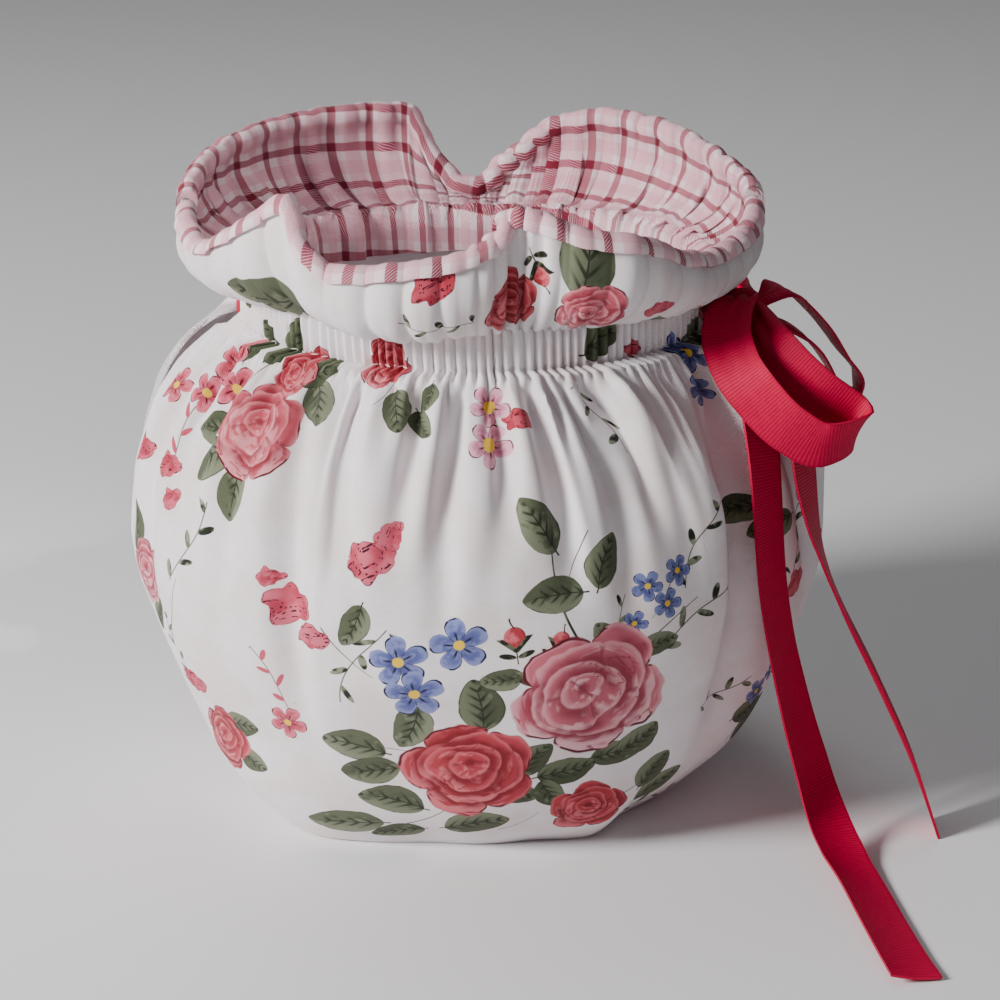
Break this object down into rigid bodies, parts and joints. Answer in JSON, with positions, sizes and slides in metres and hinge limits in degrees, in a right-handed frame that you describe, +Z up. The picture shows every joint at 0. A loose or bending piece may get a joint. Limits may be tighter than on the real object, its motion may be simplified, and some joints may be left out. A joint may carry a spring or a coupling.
{
  "type": "tea cosy",
  "caption": "Gathered two-panel tea cosy with a shirred neck, flared checked frill, side slits and a ribbon bow; hollow, it stands on its turned hem.",
  "frame": {"origin": "under the middle of the cosy, on the surface that its hem stands on", "axes": "+Z up; the front panel faces -Y; the spout slit faces -X and the handle slit +X"},
  "size_m": [0.2484, 0.2524, 0.2013],
  "materials": {
    "floral_cotton": "matt plain-weave cotton with a printed floral pattern, thinly padded",
    "check_cotton": "matt cotton with a woven pink and burgundy check",
    "ribbon": "crimson ribbon with fine cross ribs and a slight sheen"
  },
  "bodies": {
    "root": {"front_panel": "floral_cotton", "back_panel": "floral_cotton", "front_facing": "check_cotton", "back_facing": "check_cotton", "ribbon_bridge": "ribbon", "ribbon_lead_front": "ribbon", "ribbon_lead_back": "ribbon", "ribbon_knot": "ribbon", "ribbon_loop_front": "ribbon", "ribbon_loop_back": "ribbon", "ribbon_tail_long": "ribbon", "ribbon_tail_short": "ribbon"}
  },
  "joints": []
}
